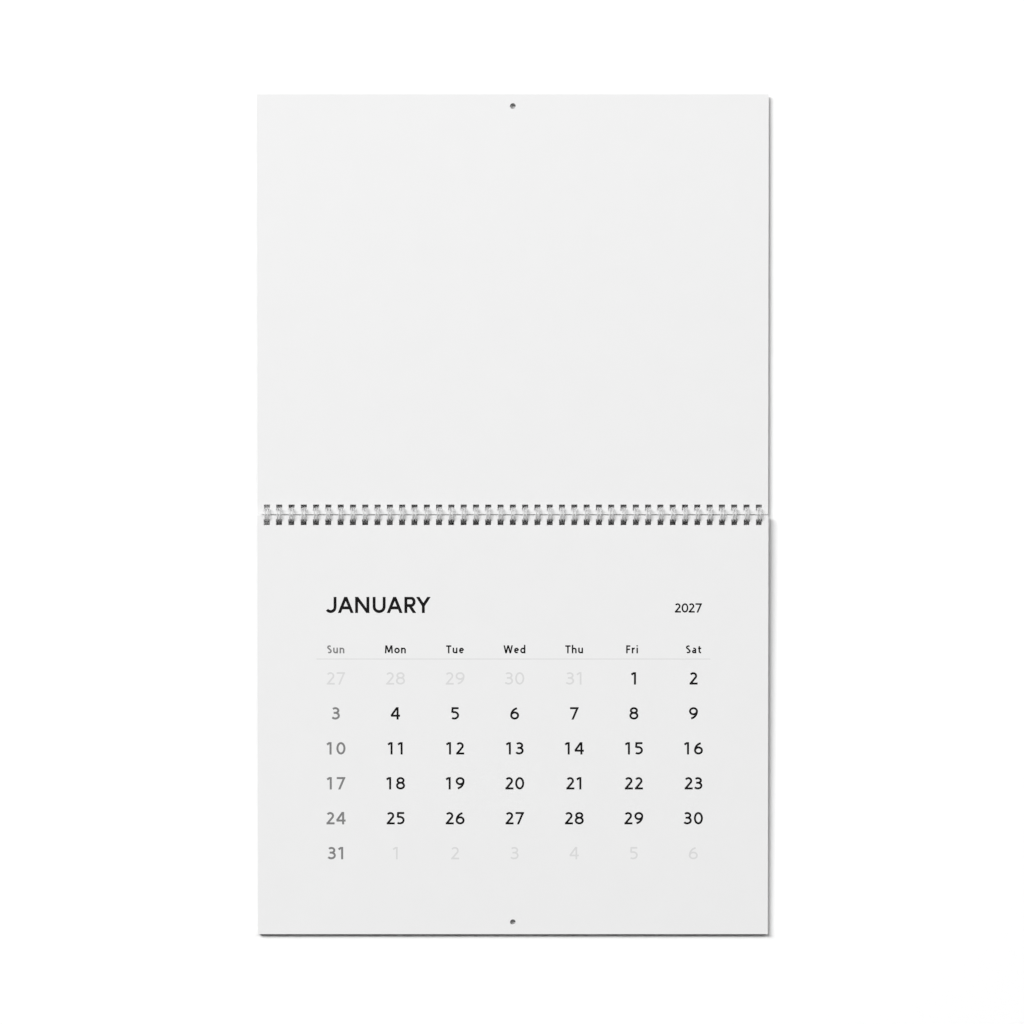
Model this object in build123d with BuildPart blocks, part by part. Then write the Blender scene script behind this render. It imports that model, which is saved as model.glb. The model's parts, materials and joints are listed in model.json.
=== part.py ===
from build123d import *
from math import cos, hypot, pi, sin, sqrt
import os

# A wire-bound wall calendar, hanging open at a month. The front cover is turned up and
# hangs by its hole, and the month pages and the back cover hang below the binding.
# Millimetres. The front faces -Y, the wall is at +Y and Z is up. The origin is the middle
# of the hanging hole in the front cover.

# Leaves
leaf_width = 355.6
leaf_height = 292.1
month_count = 12
month_thickness = 0.27
cover_thickness = 0.30
hang_diameter = 4.0
hang_margin = 8.3  # from the free edge of a leaf to the middle of its hanging hole

# Punched row along the binding edge of every leaf
punch_size = 4.2
punch_web = 2.65  # paper left between the holes and the binding edge
loop_pitch = 8.565
least_margin = 6.4  # from the middle of the end hole to the side of the leaf, at least

# Binding wire
wire_diameter = 0.9
twin_spacing = 1.95  # between the middles of the two wires of a loop
bridge_bend = 1.3  # radius of the bend from a loop into the bridge beside it
wire_rise = 0.15  # the leaves hang from the loops, so these sit above the turning axis
end_stub = 1.0  # straight wire left past the last bend at each end

# Clearances
edge_gap = 0.35  # from the turning axis to the binding edge of a leaf
leaf_gap = 0.05  # between the block of month pages and each cover
loop_clearance = 0.10  # inside the loops, past the corner of the closed stack
tip_clearance = 0.25  # from the tip of a loop to the bends that it closes against

# Places that follow from the sizes
block_thickness = month_count * month_thickness
half_stack = block_thickness / 2 + leaf_gap + cover_thickness
axis_y = -(cover_thickness / 2 + leaf_gap + block_thickness / 2)
axis_z = -(leaf_height - hang_margin + edge_gap)
loop_count = int((leaf_width - 2 * least_margin) / loop_pitch) + 1
inner_radius = hypot(half_stack, edge_gap + punch_web) + wire_rise + loop_clearance
loop_radius = inner_radius + wire_diameter / 2


def leaf(label, front_y, back_y, side):
    """A punched leaf or block of leaves. Side 1 stands up from the binding, -1 hangs down."""

    def height(distance):
        """Z of a point that lies this far from the binding edge."""
        return axis_z + side * (edge_gap + distance)

    with BuildPart() as sheet:
        with BuildSketch(Plane.XZ.offset(-back_y)):
            with Locations((0, height(leaf_height / 2))):
                Rectangle(leaf_width, leaf_height)
            with Locations((0, height(punch_web + punch_size / 2))):
                with GridLocations(loop_pitch, loop_pitch, loop_count, 1):
                    Rectangle(punch_size, punch_size, mode=Mode.SUBTRACT)
            with Locations((0, height(leaf_height - hang_margin))):
                Circle(hang_diameter / 2, mode=Mode.SUBTRACT)
        extrude(amount=back_y - front_y)
    sheet.part.label = label
    return sheet.part


def on_loop(x, angle, along=0.0):
    """A point of the loops at this angle, from the back over the top, or past it along the
    tangent."""
    y = loop_radius * cos(angle) - along * sin(angle)
    z = loop_radius * sin(angle) + along * cos(angle)
    return Vector(x, axis_y + y, axis_z + wire_rise + z)


def bend(x, outward, angle):
    """The three points of the bend from the foot of a loop, at x, out to its bridge."""
    short = bridge_bend * (1 - sqrt(0.5))
    middle = on_loop(x + outward * short, angle, -bridge_bend * sqrt(0.5))
    return on_loop(x, angle), middle, on_loop(x + outward * bridge_bend, angle, -bridge_bend)


def binding_wire():
    """One wire bent into twin loops. It runs along a bridge, round a loop to its tip, back
    beside itself and on along the next bridge. The bridges lie behind the leaves."""
    foot = bridge_bend / loop_radius
    tip = 2 * pi - (twin_spacing / 2 + tip_clearance) / loop_radius
    top = (foot + tip) / 2
    with BuildPart() as wire:
        with BuildLine() as route:
            first = -loop_pitch * (loop_count - 1) / 2
            start = on_loop(first - twin_spacing / 2 - bridge_bend - end_stub, foot, -bridge_bend)
            for number in range(loop_count):
                middle = first + number * loop_pitch
                left = middle - twin_spacing / 2
                right = middle + twin_spacing / 2
                rising = bend(left, -1, foot)
                falling = bend(right, 1, foot)
                Line(start, rising[2])
                ThreePointArc(rising[2], rising[1], rising[0])
                ThreePointArc(rising[0], on_loop(left, top), on_loop(left, tip))
                ThreePointArc(
                    on_loop(left, tip),
                    on_loop(middle, tip, twin_spacing / 2),
                    on_loop(right, tip),
                )
                ThreePointArc(on_loop(right, tip), on_loop(right, top), falling[0])
                ThreePointArc(falling[0], falling[1], falling[2])
                start = falling[2]
            Line(start, start + Vector(end_stub, 0, 0))
        with BuildSketch(Plane(origin=route.wire() @ 0, z_dir=route.wire() % 0)):
            Circle(wire_diameter / 2)
        sweep(path=route.wire())
    wire.part.label = "binding_wire"
    return wire.part


block_front = axis_y - block_thickness / 2
block_back = axis_y + block_thickness / 2
cover_front = block_back + leaf_gap
cover_back = cover_front + cover_thickness

pieces = [
    leaf("front_cover", cover_front, cover_back, 1),
    leaf("month_pages", block_front, block_back, -1),
    leaf("back_cover", cover_front, cover_back, -1),
    binding_wire(),
]

os.makedirs("parts", exist_ok=True)
for piece in pieces:
    export_step(piece, f"parts/{piece.label}.step")
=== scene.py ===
"""A wire-bound wall calendar, hanging open at January. Metres, in the frame of the CAD model: the
front faces -Y, the wall is at +Y, and the origin is the hanging hole of the front cover."""

import bpy
import json
from math import atan2, cos, hypot, pi, radians, sin, tan
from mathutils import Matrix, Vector, geometry


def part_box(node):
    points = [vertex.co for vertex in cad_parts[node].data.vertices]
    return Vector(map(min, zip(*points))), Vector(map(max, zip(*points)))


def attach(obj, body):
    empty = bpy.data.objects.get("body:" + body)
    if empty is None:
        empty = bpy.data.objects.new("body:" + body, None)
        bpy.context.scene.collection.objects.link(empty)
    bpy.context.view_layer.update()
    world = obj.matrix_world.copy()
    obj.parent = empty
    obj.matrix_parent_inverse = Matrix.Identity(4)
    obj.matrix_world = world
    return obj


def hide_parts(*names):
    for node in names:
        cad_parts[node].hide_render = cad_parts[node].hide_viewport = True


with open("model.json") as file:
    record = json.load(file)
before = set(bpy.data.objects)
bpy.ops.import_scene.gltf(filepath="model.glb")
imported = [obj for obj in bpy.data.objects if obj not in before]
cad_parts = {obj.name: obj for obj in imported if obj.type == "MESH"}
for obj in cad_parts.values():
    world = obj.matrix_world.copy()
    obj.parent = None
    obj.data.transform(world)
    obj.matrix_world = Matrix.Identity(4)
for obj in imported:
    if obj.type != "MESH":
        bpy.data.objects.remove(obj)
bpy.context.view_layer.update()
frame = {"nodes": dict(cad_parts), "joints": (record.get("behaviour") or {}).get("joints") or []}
mm = 0.001

# Places from the frame
pages_low, pages_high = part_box("month_pages")
cover_low, cover_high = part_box("front_cover")
wire_low, wire_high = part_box("binding_wire")
axis = Vector(frame["joints"][0]["pos_m"])
middle_x = (pages_low.x + pages_high.x) / 2
page_top = pages_high.z
page_front = pages_low.y

# Camera
camera_distance = 2.5
camera_tip = radians(1.32)
camera_shift = -0.6 * mm
camera_rise = 2.1 * mm
seen_width = 712.4 * mm  # as much of the calendar's plane as the picture is wide
sensor_width = 36

# Binding wire
wire_radius = 0.45 * mm
twin_spacing = 1.95 * mm
loop_pitch = 8.565 * mm
loop_count = 41
bridge_bend = 1.3 * mm
wire_rise = 0.15 * mm
tip_clearance = 0.25 * mm
wire_sides = 14
bend_steps = 7
loop_steps = 52
weld = 0.01 * mm
loop_radius = (axis.y - wire_low.y) - wire_radius

# Month leaves
month_count = 12
leaf_air = 0.02 * mm
leaf_pitch = (pages_high.y - pages_low.y) / month_count
leaf_shift = 0.10 * mm
leaf_raise = 0.06 * mm

# Room
wall_gap = 0.6 * mm
foot_gap = 1.0 * mm
wall_size = 8
floor_drop = 2.5
floor_size = 3
wall_level = 0.85
floor_level = 0.6
room_light = 0.0
backdrop_light = 0.9

# Printed month
month_name = "JANUARY"
year_name = "2027"
weekdays = ["Sun", "Mon", "Tue", "Wed", "Thu", "Fri", "Sat"]
first_date = -4  # the day in the first square, where 1 is the first of this month
month_length = 31  # of this month and of the one before
week_count = 6
ink_lift = 0.015 * mm
month_height = 11.25 * mm
month_baseline = 67.9 * mm
month_left = -129.8 * mm
year_height = 6.5 * mm
year_baseline = 67.6 * mm
year_right = 131.6 * mm
weekday_height = 5.6 * mm
weekday_baseline = 96.0 * mm
weekday_nudge = {"Fri": -1.4 * mm}
rule_drop = 99.95 * mm
rule_left, rule_right = -136.7 * mm, 137.5 * mm
rule_thickness = 0.70 * mm
rule_cuts = 6
date_height = 8.65 * mm
first_column = -123.3 * mm
column_pitch = 41.52 * mm
first_row = 113.45 * mm
row_pitch = 24.4 * mm

# Letter shapes, in heights of a capital
waist = 0.54  # where the bowls of 3 and 8 meet
x_height = 0.71
arch_rise = 0.19
ascender = 1.06
arc_step = 9  # degrees

# Lights: azimuth and elevation, distance in metres, the width and height that each fills, power
lights = {
    "key": (-31, 26, 14, 34, 14, 11.4),
    "upper_fill": (-24, 42, 10, 44, 20, 2.0),
    "right_fill": (26, 26, 10, 32, 14, 3.1),
    "rear_left": (-145, 25, 5, 45, 30, 4),
    "rear_right": (150, 15, 5, 45, 30, 4),
}


# ------------------------------------------------------------------ camera

def add_camera():
    """A long lens straight in front, a little above the binding and tipped down."""
    target = Vector((middle_x + camera_shift, page_front, axis.z + camera_rise))
    place = target + camera_distance * Vector((0, -cos(camera_tip), sin(camera_tip)))
    bpy.ops.object.camera_add(location=place, rotation=(pi / 2 - camera_tip, 0, 0))
    camera = bpy.context.object
    camera.name = "camera"
    camera.data.sensor_width = sensor_width
    camera.data.lens = sensor_width * camera_distance / seen_width
    camera.data.clip_end = 50
    bpy.context.scene.camera = camera


add_camera()


# ------------------------------------------------------------------ materials

class Socket:
    """A shader socket or a number, so that shader maths reads as plain expressions."""

    def __init__(self, shader, value):
        self.shader = shader
        self.value = value

    def maths(self, operation, *values):
        return self.shader.node("ShaderNodeMath", {"operation": operation}, *values)

    def __add__(self, other):
        return self.maths("ADD", self, other)

    def __mul__(self, other):
        return self.maths("MULTIPLY", self, other)

    __radd__ = __add__
    __rmul__ = __mul__


class Shader:
    """A material's node tree, written as calls."""

    def __init__(self, name):
        self.material = bpy.data.materials.new(name)
        self.material.use_nodes = True
        self.tree = self.material.node_tree
        self.surface = self.tree.nodes["Principled BSDF"]

    def node(self, kind, settings, *values, output=0, **named):
        """Adds a node, with its settings first, and returns one of its outputs."""
        node = self.tree.nodes.new(kind)
        for key, value in settings.items():
            setattr(node, key, value)
        for key, value in [*enumerate(values), *named.items()]:
            self.feed(node.inputs[key if isinstance(key, int) else key.replace("_", " ")], value)
        return Socket(self, node.outputs[output])

    def feed(self, socket, value):
        value = value.value if isinstance(value, Socket) else value
        if isinstance(value, bpy.types.NodeSocket):
            self.tree.links.new(value, socket)
        else:
            socket.default_value = value

    def set(self, **values):
        """Sets or links the sockets of the Principled shader."""
        for key, value in values.items():
            self.feed(self.surface.inputs[key.replace("_", " ")], value)
        return self.material

    def place(self):
        return self.node("ShaderNodeTexCoord", {}, output="Object")

    def noise(self, scale, detail=3.0, roughness=0.5, vector=None):
        """Noise from 0 to 1, with this many grains in a metre."""
        vector = vector or self.place()
        return self.node("ShaderNodeTexNoise", {}, Vector=vector, Scale=scale, Detail=detail,
                         Roughness=roughness, output="Fac")

    def stretched(self, x, y, z):
        return self.node("ShaderNodeMapping", {}, Vector=self.place(), Scale=(x, y, z))

    def mix(self, factor, first, second):
        """A blend of two colours."""
        node = self.tree.nodes.new("ShaderNodeMix")
        node.data_type = "RGBA"
        self.feed(node.inputs["Factor"], factor)
        self.feed(node.inputs["A"], first)
        self.feed(node.inputs["B"], second)
        return Socket(self, node.outputs["Result"])

    def bump(self, height, strength, distance):
        return self.node("ShaderNodeBump", {}, Strength=strength, Distance=distance, Height=height,
                         output="Normal")


def grey(level):
    return (level, level, level, 1.0)


def coated_paper(name, level):
    """White satin paper: a faint cloudy formation, fine fibres and a soft coated sheen."""
    shader = Shader(name)
    clouds = shader.noise(45, 4, 0.55)
    fibres = shader.noise(1, 3, 0.6, shader.stretched(900, 2500, 2600))
    grain = shader.noise(3800, 2, 0.5)
    formation = clouds * 0.65 + fibres * 0.35
    colour = shader.mix(formation, grey(level * 0.985), grey(level * 1.015))
    relief = grain * 0.6 + fibres * 0.4
    return shader.set(
        Base_Color=colour,
        Roughness=clouds * 0.08 + grain * 0.06 + 0.43,
        Normal=shader.bump(relief, 0.12, 0.02 * mm),
        Specular_IOR_Level=0.35,
    )


def ink(name, level, roughness):
    """Offset ink: a thin even film with a little mottle and the paper's own grain."""
    shader = Shader(name)
    mottle = shader.noise(1500, 3, 0.6)
    colour = shader.mix(mottle, grey(level * 0.96), grey(level * 1.04))
    return shader.set(
        Base_Color=colour,
        Roughness=mottle * 0.1 + roughness,
        Normal=shader.bump(mottle, 0.08, 0.01 * mm),
        Specular_IOR_Level=0.1,
    )


def coated_wire():
    """Steel wire in a pale grey plastic coat, with fine pits."""
    shader = Shader("coated_wire")
    patches = shader.noise(260, 3, 0.5)
    pits = shader.noise(5200, 2, 0.5)
    colour = shader.mix(patches, grey(0.48), grey(0.56))
    return shader.set(
        Base_Color=colour,
        Roughness=patches * 0.12 + 0.36,
        Normal=shader.bump(pits, 0.10, 0.01 * mm),
        Coat_Weight=0.1,
        Coat_Roughness=0.2,
    )


def plain_stage(name, level):
    """The matt paint of the room."""
    return Shader(name).set(Base_Color=grey(level), Roughness=0.9, Specular_IOR_Level=0.1)


def one_sided_stage(name, level):
    """The same paint, seen only from the front. Light from behind it reaches the back of the
    calendar, and goes no further."""
    shader = Shader(name)
    shader.set(Base_Color=grey(level), Roughness=0.9, Specular_IOR_Level=0.1)
    from_behind = shader.node("ShaderNodeNewGeometry", {}, output="Backfacing")
    is_shadow = shader.node("ShaderNodeLightPath", {}, output="Is Shadow Ray")
    bounces = shader.node("ShaderNodeLightPath", {}, output="Diffuse Depth")
    unbounced = shader.node("ShaderNodeMath", {"operation": "LESS_THAN"}, bounces, 0.5)
    clearness = shader.node("ShaderNodeMath", {"operation": "MAXIMUM"}, from_behind,
                            unbounced * is_shadow)
    paint_shader = Socket(shader, shader.surface.outputs["BSDF"])
    clear_shader = shader.node("ShaderNodeBsdfTransparent", {}, output="BSDF")
    mixed = shader.node("ShaderNodeMixShader", {}, clearness, paint_shader, clear_shader)
    shader.feed(shader.tree.nodes["Material Output"].inputs["Surface"], mixed)
    return shader.material


cover_paper = coated_paper("cover_paper", 0.70)
page_paper = coated_paper("page_paper", 0.70)
black_ink = ink("black_ink", 0.004, 0.6)
grey_ink = ink("grey_ink", 0.18, 0.55)
pale_ink = ink("pale_ink", 0.58, 0.5)
rule_ink = ink("rule_ink", 0.61, 0.5)
wire_coat = coated_wire()


# ------------------------------------------------------------------ small helpers

def only(piece):
    """Selects this object alone and makes it active."""
    bpy.ops.object.select_all(action="DESELECT")
    piece.select_set(True)
    bpy.context.view_layer.objects.active = piece


def settle(piece):
    """Puts the object at the origin, with its place in its mesh."""
    only(piece)
    bpy.ops.object.transform_apply(location=True, rotation=True, scale=True)


def paint(piece, material):
    """Gives the piece this material alone."""
    piece.data.materials.clear()
    piece.data.materials.append(material)


def finish_piece(piece, name, material, body):
    """Names and paints a piece, and says which body it rides."""
    piece.name = name
    piece.data.name = name
    paint(piece, material)
    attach(piece, body)


# ------------------------------------------------------------------ leaves

def month_leaves():
    """The block of month pages as thin leaves, each cut as the block is. Behind the first, each is
    a hair narrower and lies a hair to one side and higher, as leaves do on the wire."""
    block = frame["nodes"]["month_pages"]
    thin = (leaf_pitch - leaf_air) / (pages_high.y - pages_low.y)
    for number in range(month_count):
        leaf = bpy.data.objects.new("leaf", block.data.copy())
        bpy.context.collection.objects.link(leaf)
        only(leaf)
        bpy.ops.object.mode_set(mode="EDIT")
        bpy.ops.mesh.select_all(action="SELECT")
        bpy.ops.mesh.remove_doubles(threshold=0.001 * mm)
        narrow = 1 - leaf_shift / pages_high.x if number else 1
        bpy.ops.transform.resize(value=(narrow, thin, 1), center_override=(0, page_front, axis.z))
        sideways = leaf_shift * sin(2.4 * number)
        higher = leaf_raise * (1 - cos(1.7 * number))
        bpy.ops.transform.translate(value=(sideways, number * leaf_pitch, higher))
        bpy.ops.object.mode_set(mode="OBJECT")
        finish_piece(leaf, f"month_leaf_{number + 1:02d}", page_paper, "pages")
        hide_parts("month_pages")


# ------------------------------------------------------------------ binding wire

def half_loop():
    """Half of one loop, modelled at the middle of the calendar: a ring of the wire's section is
    drawn along the bridge, round the bend, up and over to the tip and a quarter round it. A spin
    is left-handed about its axis."""
    centre = Vector((0, axis.y, axis.z + wire_rise))
    foot = bridge_bend / loop_radius
    tip = 2 * pi - (twin_spacing / 2 + tip_clearance) / loop_radius
    at_foot = Vector((0, cos(foot), sin(foot)))
    along_foot = Vector((0, -sin(foot), cos(foot)))
    at_tip = Vector((0, cos(tip), sin(tip)))
    left = Vector((-twin_spacing / 2, 0, 0))
    foot_point = centre + at_foot * loop_radius + left
    bend_centre = foot_point - Vector((bridge_bend, 0, 0))
    start = bend_centre - along_foot * bridge_bend
    start.x = -loop_pitch / 2
    bpy.ops.mesh.primitive_circle_add(vertices=wire_sides, radius=wire_radius, fill_type="NOTHING",
                                      location=start, rotation=(0, pi / 2, 0))
    wire = bpy.context.object
    settle(wire)
    bpy.ops.object.mode_set(mode="EDIT")
    bpy.ops.mesh.select_all(action="SELECT")
    reach = bend_centre.x - start.x
    bpy.ops.mesh.extrude_region_move(TRANSFORM_OT_translate={"value": (reach, 0, 0)})
    tip_centre = centre + at_tip * loop_radius
    bpy.ops.mesh.spin(steps=bend_steps, angle=pi / 2, center=bend_centre, axis=at_foot)
    bpy.ops.mesh.spin(steps=loop_steps, angle=tip - foot, center=centre, axis=(-1, 0, 0))
    bpy.ops.mesh.spin(steps=bend_steps, angle=pi / 2, center=tip_centre, axis=-at_tip)
    bpy.ops.object.mode_set(mode="OBJECT")
    return wire


def binding_wire():
    """The half loop mirrored, repeated along the binding as one wire, and capped at both ends."""
    wire = half_loop()
    mirror = wire.modifiers.new("other_half", "MIRROR")
    mirror.use_clip = True
    mirror.merge_threshold = weld
    row = wire.modifiers.new("row", "ARRAY")
    row.use_relative_offset = False
    row.use_constant_offset = True
    row.constant_offset_displace = (loop_pitch, 0, 0)
    row.count = loop_count
    row.use_merge_vertices = True
    row.merge_threshold = weld
    only(wire)
    bpy.ops.object.modifier_apply(modifier="other_half")
    bpy.ops.object.modifier_apply(modifier="row")
    bpy.ops.object.mode_set(mode="EDIT")
    bpy.ops.mesh.select_all(action="SELECT")
    first = middle_x - loop_pitch * (loop_count - 1) / 2
    bpy.ops.transform.translate(value=(first, 0, 0))
    bpy.ops.mesh.remove_doubles(threshold=weld)
    for end, side in ((wire_low.x, -1), (wire_high.x, 1)):
        bpy.ops.mesh.select_all(action="SELECT")
        bpy.ops.mesh.bisect(plane_co=(end, 0, 0), plane_no=(side, 0, 0), clear_outer=True,
                            use_fill=True)
    bpy.ops.mesh.select_all(action="SELECT")
    bpy.ops.mesh.normals_make_consistent(inside=False)
    bpy.ops.object.mode_set(mode="OBJECT")
    bpy.ops.object.shade_smooth_by_angle(angle=radians(50))
    finish_piece(wire, "wire_loops", wire_coat, "wire")
    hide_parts("binding_wire")


# ------------------------------------------------------------------ lettering

def line(x0, y0, x1, y1):
    """The two ends of a straight pen stroke."""
    return [(x0, y0), (x1, y1)]


def arc(x, y, across, up, start, end):
    """Points round part of an ellipse, from one angle to another in degrees."""
    count = max(2, round(abs(end - start) / arc_step))
    angles = [radians(start + (end - start) * i / count) for i in range(count + 1)]
    return [(x + across * cos(a), y + up * sin(a)) for a in angles]


def numerals(w):
    """The pen strokes of the digits, one unit high, for a pen this wide."""
    h = w / 2
    top = 1 - h
    low_bowl = (waist - h) / 2
    high_bowl = (top - waist) / 2
    six = [arc(0.37, h + 0.245, 0.36 - h, 0.245, 0, 360),
           arc(0.66, 0.32, 0.65 - h, top - 0.32, 180, 100)]
    return {
        "0": (0.73, [arc(0.365, 0.5, 0.365 - h, 0.5 - h, 0, 360)]),
        "1": (0.50, [line(0.42 - h, 0, 0.42 - h, 1), line(0.05, 0.80, 0.43 - h, 1.0)]),
        "2": (0.68, [arc(0.32, 0.70, 0.31 - h, top - 0.70, 152, -32)
                     + [(0.10, h)], line(0.02, h, 0.67, h)]),
        "3": (0.64, [arc(0.28, waist + high_bowl, 0.32 - h, high_bowl, 142, -90)
                     + [(0.14, waist)],
                     line(0.14, waist, 0.27, waist)
                     + arc(0.27, h + low_bowl, 0.37 - h, low_bowl, 90, -146)[1:]]),
        "4": (0.76, [line(0.55, 0, 0.55, 1), line(0.55, 1.02, 0.04, 0.30),
                     line(0.02, 0.31, 0.75, 0.31)]),
        "5": (0.66, [line(0.62, top, 0.10, top), line(0.135, 1, 0.105, 0.55),
                     arc(0.27, h + 0.26, 0.385 - h, 0.26, 118, -128)]),
        "6": (0.74, six),
        "7": (0.70, [line(0.01, top, 0.69, top), line(0.655, 1.05, 0.19, -0.05)]),
        "8": (0.73, [arc(0.365, h + low_bowl, 0.365 - h, low_bowl, 0, 360),
                     arc(0.365, waist + high_bowl, 0.325 - h, high_bowl, 0, 360)]),
        "9": (0.74, [[(0.74 - x, 1 - y) for x, y in stroke] for stroke in six]),
    }


def small_letters(w):
    """The strokes of the weekday names, for capitals one unit high."""
    h = w / 2
    top = 1 - h
    round_up = x_height - h
    return {
        "S": (0.62, [arc(0.32, 0.745, 0.29 - h, top - 0.745, 42, 250)
                     + arc(0.30, 0.28, 0.31 - h, 0.28 - h, 62, -132)]),
        "M": (1.04, [line(h + 0.02, 0, h + 0.08, 1), line(h + 0.10, 1.05, 0.52, 0.12),
                     line(0.52, 0.12, 0.94 - h, 1.05), line(0.96 - h, 1, 1.02 - h, 0)]),
        "T": (0.66, [line(0, top, 0.66, top), line(0.33, 0, 0.33, 1)]),
        "W": (1.14, [line(0.07, 1.05, 0.31, -0.05), line(0.29, -0.05, 0.57, 1.05),
                     line(0.57, 1.05, 0.85, -0.05), line(0.83, -0.05, 1.07, 1.05)]),
        "F": (0.58, [line(h + 0.04, 0, h + 0.04, 1), line(0.04, top, 0.56, top),
                     line(0.04, 0.50, 0.52, 0.50)]),
        "u": (0.64, [[(h, x_height)] + arc(0.30, 0.27, 0.30 - h, 0.27 - h, 180, 350),
                     line(0.60 - h, x_height, 0.60 - h, 0)]),
        "n": (0.64, [line(h, 0, h, x_height),
                     arc(0.30, round_up - arch_rise, 0.30 - h, arch_rise, 170, 0)
                     + [(0.60 - h, 0)]]),
        "h": (0.64, [line(h, 0, h, ascender),
                     arc(0.30, round_up - arch_rise, 0.30 - h, arch_rise, 170, 0)
                     + [(0.60 - h, 0)]]),
        "o": (0.68, [arc(0.34, x_height / 2, 0.34 - h, x_height / 2 - h, 0, 360)]),
        "e": (0.62, [line(h, 0.37, 0.60 - h, 0.37),
                     arc(0.31, x_height / 2, 0.31 - h, x_height / 2 - h, 0, 312)]),
        "d": (0.68, [arc(0.32, x_height / 2, 0.32 - h, x_height / 2 - h, 0, 360),
                     line(0.64 - h, 0, 0.64 - h, ascender)]),
        "r": (0.42, [line(h, 0, h, x_height),
                     arc(0.36, 0.36, 0.36 - h, round_up - 0.36, 178, 86)]),
        "i": (0.20, [line(h + 0.01, 0, h + 0.01, x_height),
                     line(h + 0.01, 0.86, h + 0.01, 0.86 + w)]),
        "a": (0.60, [arc(0.27, 0.45, 0.27 - h, round_up - 0.45, 128, 0) + [(0.54 - h, 0)],
                     arc(0.27, 0.22, 0.27 - h, 0.22 - h, 20, 340)]),
        "t": (0.42, [[(0.16, 0.90)] + arc(0.36, 0.24, 0.20, 0.24 - h, 180, 275),
                     line(0.0, x_height - h, 0.40, x_height - h)]),
    }


def capitals(w):
    """The strokes of the month's name, for capitals one unit high."""
    h = w / 2
    top = 1 - 0.8 * h
    return {
        "J": (0.74, [[(0.64 - h, 1)]
                    + arc(0.27, 0.36, 0.37 - h, 0.36 - h, 0, -146)]),
        "A": (0.97, [line(0.06, -0.05, 0.51, 1.05), line(0.91, -0.05, 0.46, 1.05),
                     line(0.24, 0.32, 0.73, 0.32)]),
        "N": (1.12, [line(0.11 + h, 0, 0.11 + h, 1), line(1.01 - h, 0, 1.01 - h, 1),
                     line(0.16, 1.04, 0.96, -0.04)]),
        "U": (1.01, [[(0.10 + h, 1)]
                    + arc(0.51, 0.39, 0.41 - h, 0.39 - h, 180, 360)
                    + [(0.92 - h, 1)]]),
        "R": (0.88, [line(0.13 + h, 0, 0.13 + h, 1),
                     line(0.14, top, 0.54, top)
                     + arc(0.54, 0.695, 0.30 - h, top - 0.695, 90, -90)[1:]
                     + [(0.14, 0.695 * 2 - top)],
                     line(0.48, 0.44, 0.80, -0.04)]),
        "Y": (0.90, [line(0.06, 1.05, 0.45, 0.46), line(0.84, 1.05, 0.45, 0.46),
                     line(0.45, 0, 0.45, 0.52)]),
    }


def ribbon(points, w):
    """The four-sided faces of a pen stroke of width w along these points."""
    closed = hypot(points[0][0] - points[-1][0], points[0][1] - points[-1][1]) < 1e-6
    sides = []
    last = len(points) - 1
    for i, (x, y) in enumerate(points):
        before = points[i - 1] if i else (points[-2] if closed else points[0])
        after = points[i + 1] if i < last else (points[1] if closed else points[-1])
        into = atan2(y - before[1], x - before[0]) if before != (x, y) else None
        out = atan2(after[1] - y, after[0] - x) if after != (x, y) else None
        into = out if into is None else into
        out = into if out is None else out
        turn = (out - into + pi) % (2 * pi) - pi
        heading = into + turn / 2
        reach = min(w / 2 / cos(turn / 2), w)
        dx, dy = -sin(heading) * reach, cos(heading) * reach
        sides.append(((x + dx, y + dy), (x - dx, y - dy)))
    return [[a[1], b[1], b[0], a[0]] for a, b in zip(sides, sides[1:])]


def trim(face, low, high):
    """Cuts a face off level at the bottom and the top of the letter."""
    for limit, keep in ((low, 1), (high, -1)):
        kept = []
        for (x0, y0), (x1, y1) in zip(face, face[1:] + face[:1]):
            inside0, inside1 = keep * (y0 - limit) >= 0, keep * (y1 - limit) >= 0
            if inside0:
                kept.append((x0, y0))
            if inside0 != inside1:
                share = (limit - y0) / (y1 - y0)
                kept.append((x0 + share * (x1 - x0), limit))
        face = kept
    return face


def letter_shape(strokes, w):
    """The outline of a letter as flat triangles: its strokes trimmed and joined without laps."""
    points, faces = [], []
    for stroke in strokes:
        tallest = 1 if max(y for x, y in stroke) < ascender else ascender
        for face in ribbon(stroke, w):
            face = trim(face, 0, tallest)
            if len(face) > 2:
                faces.append(list(range(len(points), len(points) + len(face))))
                points.extend(Vector(p) for p in face)
    made = geometry.delaunay_2d_cdt(points, [], faces, 0, 1e-6)
    corners, edges, triangles, corner_sources, edge_sources, face_sources = made
    return corners, [t for t, source in zip(triangles, face_sources) if source]


class Style:
    """How a word is set: its alphabet, its height, the width of the pen and the gap after a letter
    in shares of the height, one advance for all figures, and how wide the letters are spread."""

    def __init__(self, alphabet, height, pen, gap=0.0, advance=None, spread=1.0):
        self.alphabet = alphabet
        self.height = height
        self.pen = pen
        self.gap = gap
        self.advance = advance
        self.spread = spread


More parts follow.
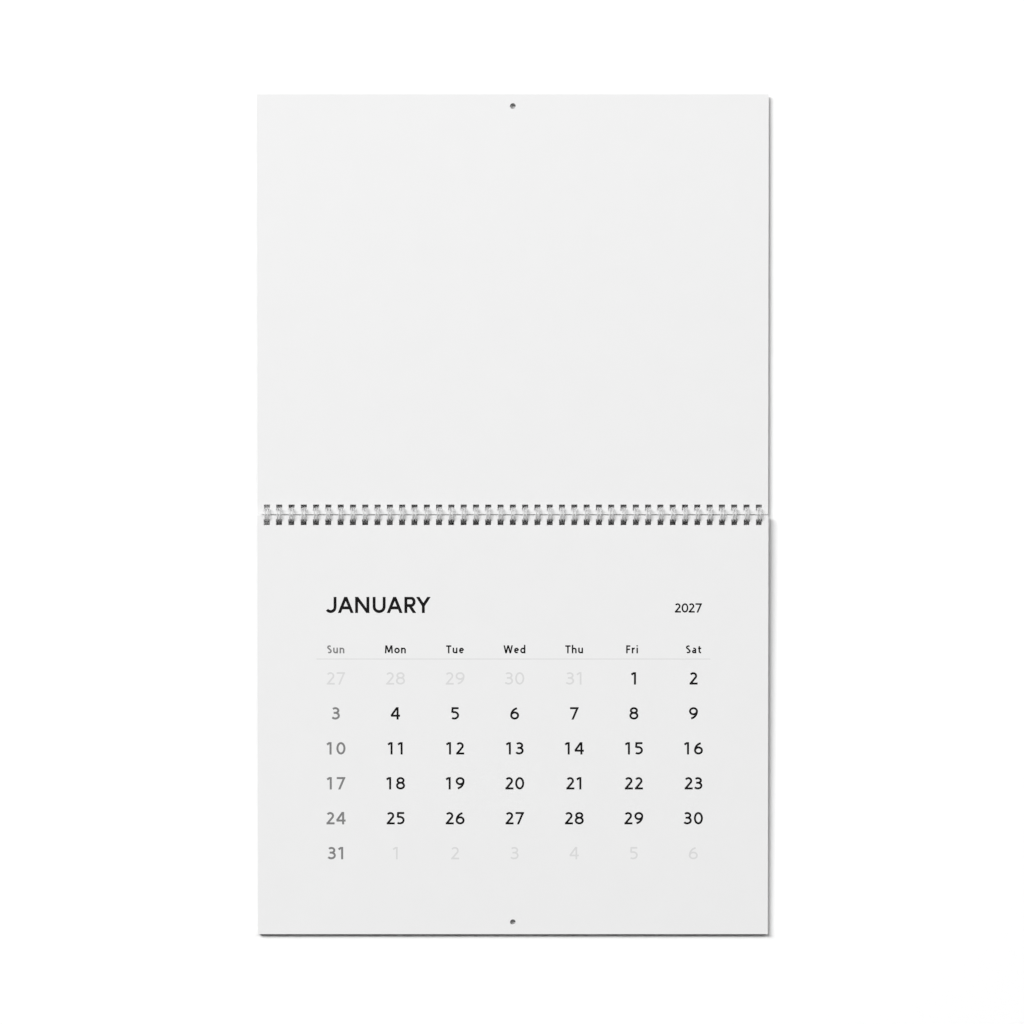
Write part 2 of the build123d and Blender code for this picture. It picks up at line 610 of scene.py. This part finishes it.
class Lettering:
    """Collects words in one ink and makes them one flat piece just in front of the page."""

    def __init__(self, name, material):
        self.name = name
        self.material = material
        self.corners = []
        self.triangles = []

    def add(self, word, style, x, baseline, align):
        """Sets a word. x and baseline are measured from the page's middle and its top edge, and
        align is the share of the word that lies to the left of x."""
        shapes = style.alphabet(style.pen)
        widths = [shapes[letter][0] for letter in word]
        advances = [style.advance or width + style.gap for width in widths]
        across = style.spread * style.height
        left = middle_x + x - align * (sum(advances[:-1]) + widths[-1]) * across
        foot = page_top - baseline
        for letter, advance in zip(word, advances):
            corners, triangles = letter_shape(shapes[letter][1], style.pen)
            start = len(self.corners)
            self.corners += [(left + corner.x * across, page_front - ink_lift,
                              foot + corner.y * style.height) for corner in corners]
            self.triangles += [tuple(start + i for i in t) for t in triangles]
            left += advance * across

    def make(self):
        """Makes the piece, with its triangles joined into larger faces."""
        mesh = bpy.data.meshes.new(self.name)
        mesh.from_pydata(self.corners, [], self.triangles)
        piece = bpy.data.objects.new(self.name, mesh)
        bpy.context.collection.objects.link(piece)
        only(piece)
        bpy.ops.object.mode_set(mode="EDIT")
        bpy.ops.mesh.select_all(action="SELECT")
        bpy.ops.mesh.remove_doubles(threshold=0.0005 * mm)
        bpy.ops.mesh.dissolve_limited(angle_limit=radians(0.5))
        bpy.ops.object.mode_set(mode="OBJECT")
        finish_piece(piece, self.name, self.material, "pages")


month_style = Style(capitals, month_height, pen=0.185, spread=0.977)
year_style = Style(numerals, year_height, pen=0.17, advance=0.74)
weekday_style = Style(small_letters, weekday_height, pen=0.185, gap=0.155)
date_style = Style(numerals, date_height, pen=0.165, advance=0.81)
other_month_style = Style(numerals, date_height, pen=0.135, advance=0.81)
from_left, centred, from_right = 0, 0.5, 1


def printed_month():
    """The month's name, the year, the weekdays and the six weeks of dates. Sunday's column is in
    grey, and the days of the months before and after are pale and thin."""
    black = Lettering("black_print", black_ink)
    dim = Lettering("grey_print", grey_ink)
    pale = Lettering("pale_print", pale_ink)
    black.add(month_name, month_style, month_left, month_baseline, from_left)
    black.add(year_name, year_style, year_right, year_baseline, from_right)
    for column, weekday in enumerate(weekdays):
        x = first_column + column * column_pitch
        print_here = dim if column == 0 else black
        weekday_x = x + weekday_nudge.get(weekday, 0)
        print_here.add(weekday, weekday_style, weekday_x, weekday_baseline, centred)
        for week in range(week_count):
            day = first_date + week * len(weekdays) + column
            baseline = first_row + week * row_pitch + date_height / 2
            if 1 <= day <= month_length:
                print_here.add(str(day), date_style, x, baseline, centred)
            else:
                other_day = (day - 1) % month_length + 1
                pale.add(str(other_day), other_month_style, x, baseline, centred)
    for lettering in (black, dim, pale):
        lettering.make()


def heading_rule():
    """The pale line under the weekdays, a flat strip laid on the page."""
    bpy.ops.mesh.primitive_plane_add(size=1, rotation=(pi / 2, 0, 0))
    rule = bpy.context.object
    rule.scale = (rule_right - rule_left, rule_thickness, 1)
    rule.location = (middle_x + (rule_left + rule_right) / 2, page_front - ink_lift,
                     page_top - rule_drop)
    settle(rule)
    bpy.ops.object.mode_set(mode="EDIT")
    bpy.ops.mesh.select_all(action="SELECT")
    bpy.ops.mesh.subdivide(number_cuts=rule_cuts)
    bpy.ops.object.mode_set(mode="OBJECT")
    finish_piece(rule, "heading_rule", rule_ink, "pages")


# ------------------------------------------------------------------ stage and light

def add_stage():
    """A plain wall just behind the binding wire, which leans in below it to the foot of the
    leaves, and a pale floor."""
    wall_y = wire_high.y + wall_gap
    lean = (wall_y - cover_high.y - foot_gap) / (axis.z - pages_low.z)
    floor_z = axis.z - floor_drop
    bpy.ops.mesh.primitive_plane_add(size=wall_size, rotation=(pi / 2, 0, 0),
                                     location=(0, wall_y, axis.z + wall_size / 2))
    wall = bpy.context.object
    wall.name = "wall"
    settle(wall)
    bpy.ops.object.mode_set(mode="EDIT")
    bpy.ops.mesh.select_all(action="DESELECT")
    bpy.ops.object.mode_set(mode="OBJECT")
    for edge in wall.data.edges:
        edge.select = all(wall.data.vertices[v].co.z < axis.z + weld for v in edge.vertices)
    bpy.ops.object.mode_set(mode="EDIT")
    bpy.ops.mesh.select_mode(type="EDGE")
    bpy.ops.mesh.extrude_region_move(
        TRANSFORM_OT_translate={"value": (0, -lean * floor_drop, -floor_drop)})
    bpy.ops.mesh.select_all(action="SELECT")
    bpy.ops.object.mode_set(mode="OBJECT")
    for face in wall.data.polygons:
        if face.normal.y > 0:
            face.flip()
    wall.data.materials.append(one_sided_stage("wall_white", wall_level))
    bpy.ops.mesh.primitive_plane_add(size=floor_size, location=(0, 0, floor_z))
    floor = bpy.context.object
    floor.name = "floor"
    floor.data.materials.append(plain_stage("floor_white", floor_level))


def add_light(name, azimuth, elevation, distance, width, height, power):
    """A soft light. Azimuth is from straight in front, to the right, and both angles are in
    degrees. Its width and height are the angles that it fills."""
    around, up = radians(azimuth), radians(elevation)
    away = Vector((sin(around) * cos(up), -cos(around) * cos(up), sin(up)))
    target = Vector((middle_x, 0, axis.z))
    bpy.ops.object.light_add(type="AREA", location=target + away * distance)
    light = bpy.context.object
    light.name = name
    light.data.shape = "RECTANGLE"
    light.data.size = 2 * distance * tan(radians(width / 2))
    light.data.size_y = 2 * distance * tan(radians(height / 2))
    light.data.energy = power * distance ** 2
    light.rotation_euler = away.to_track_quat("Z", "Y").to_euler()


def add_lights():
    """One wide soft light high in front and a little to the left does most of the work. Two weaker
    ones fill from higher up and from the right, and two low ones light the back. Only the camera
    sees the bright backdrop."""
    for name, settings in lights.items():
        add_light(name, *settings)
    world = bpy.data.worlds.new("studio")
    bpy.context.scene.world = world
    world.use_nodes = True
    tree = world.node_tree
    path = tree.nodes.new("ShaderNodeLightPath")
    strength = tree.nodes.new("ShaderNodeMapRange")
    strength.inputs["To Min"].default_value = room_light
    strength.inputs["To Max"].default_value = backdrop_light
    tree.links.new(path.outputs["Is Camera Ray"], strength.inputs["Value"])
    background = tree.nodes["Background"]
    background.inputs["Color"].default_value = grey(1.0)
    tree.links.new(strength.outputs[0], background.inputs["Strength"])
    bpy.context.scene.view_settings.view_transform = "Standard"


paint(frame["nodes"]["front_cover"], cover_paper)
paint(frame["nodes"]["back_cover"], cover_paper)
paint(frame["nodes"]["month_pages"], page_paper)
paint(frame["nodes"]["binding_wire"], wire_coat)
month_leaves()
binding_wire()
printed_month()
heading_rule()
add_stage()
add_lights()
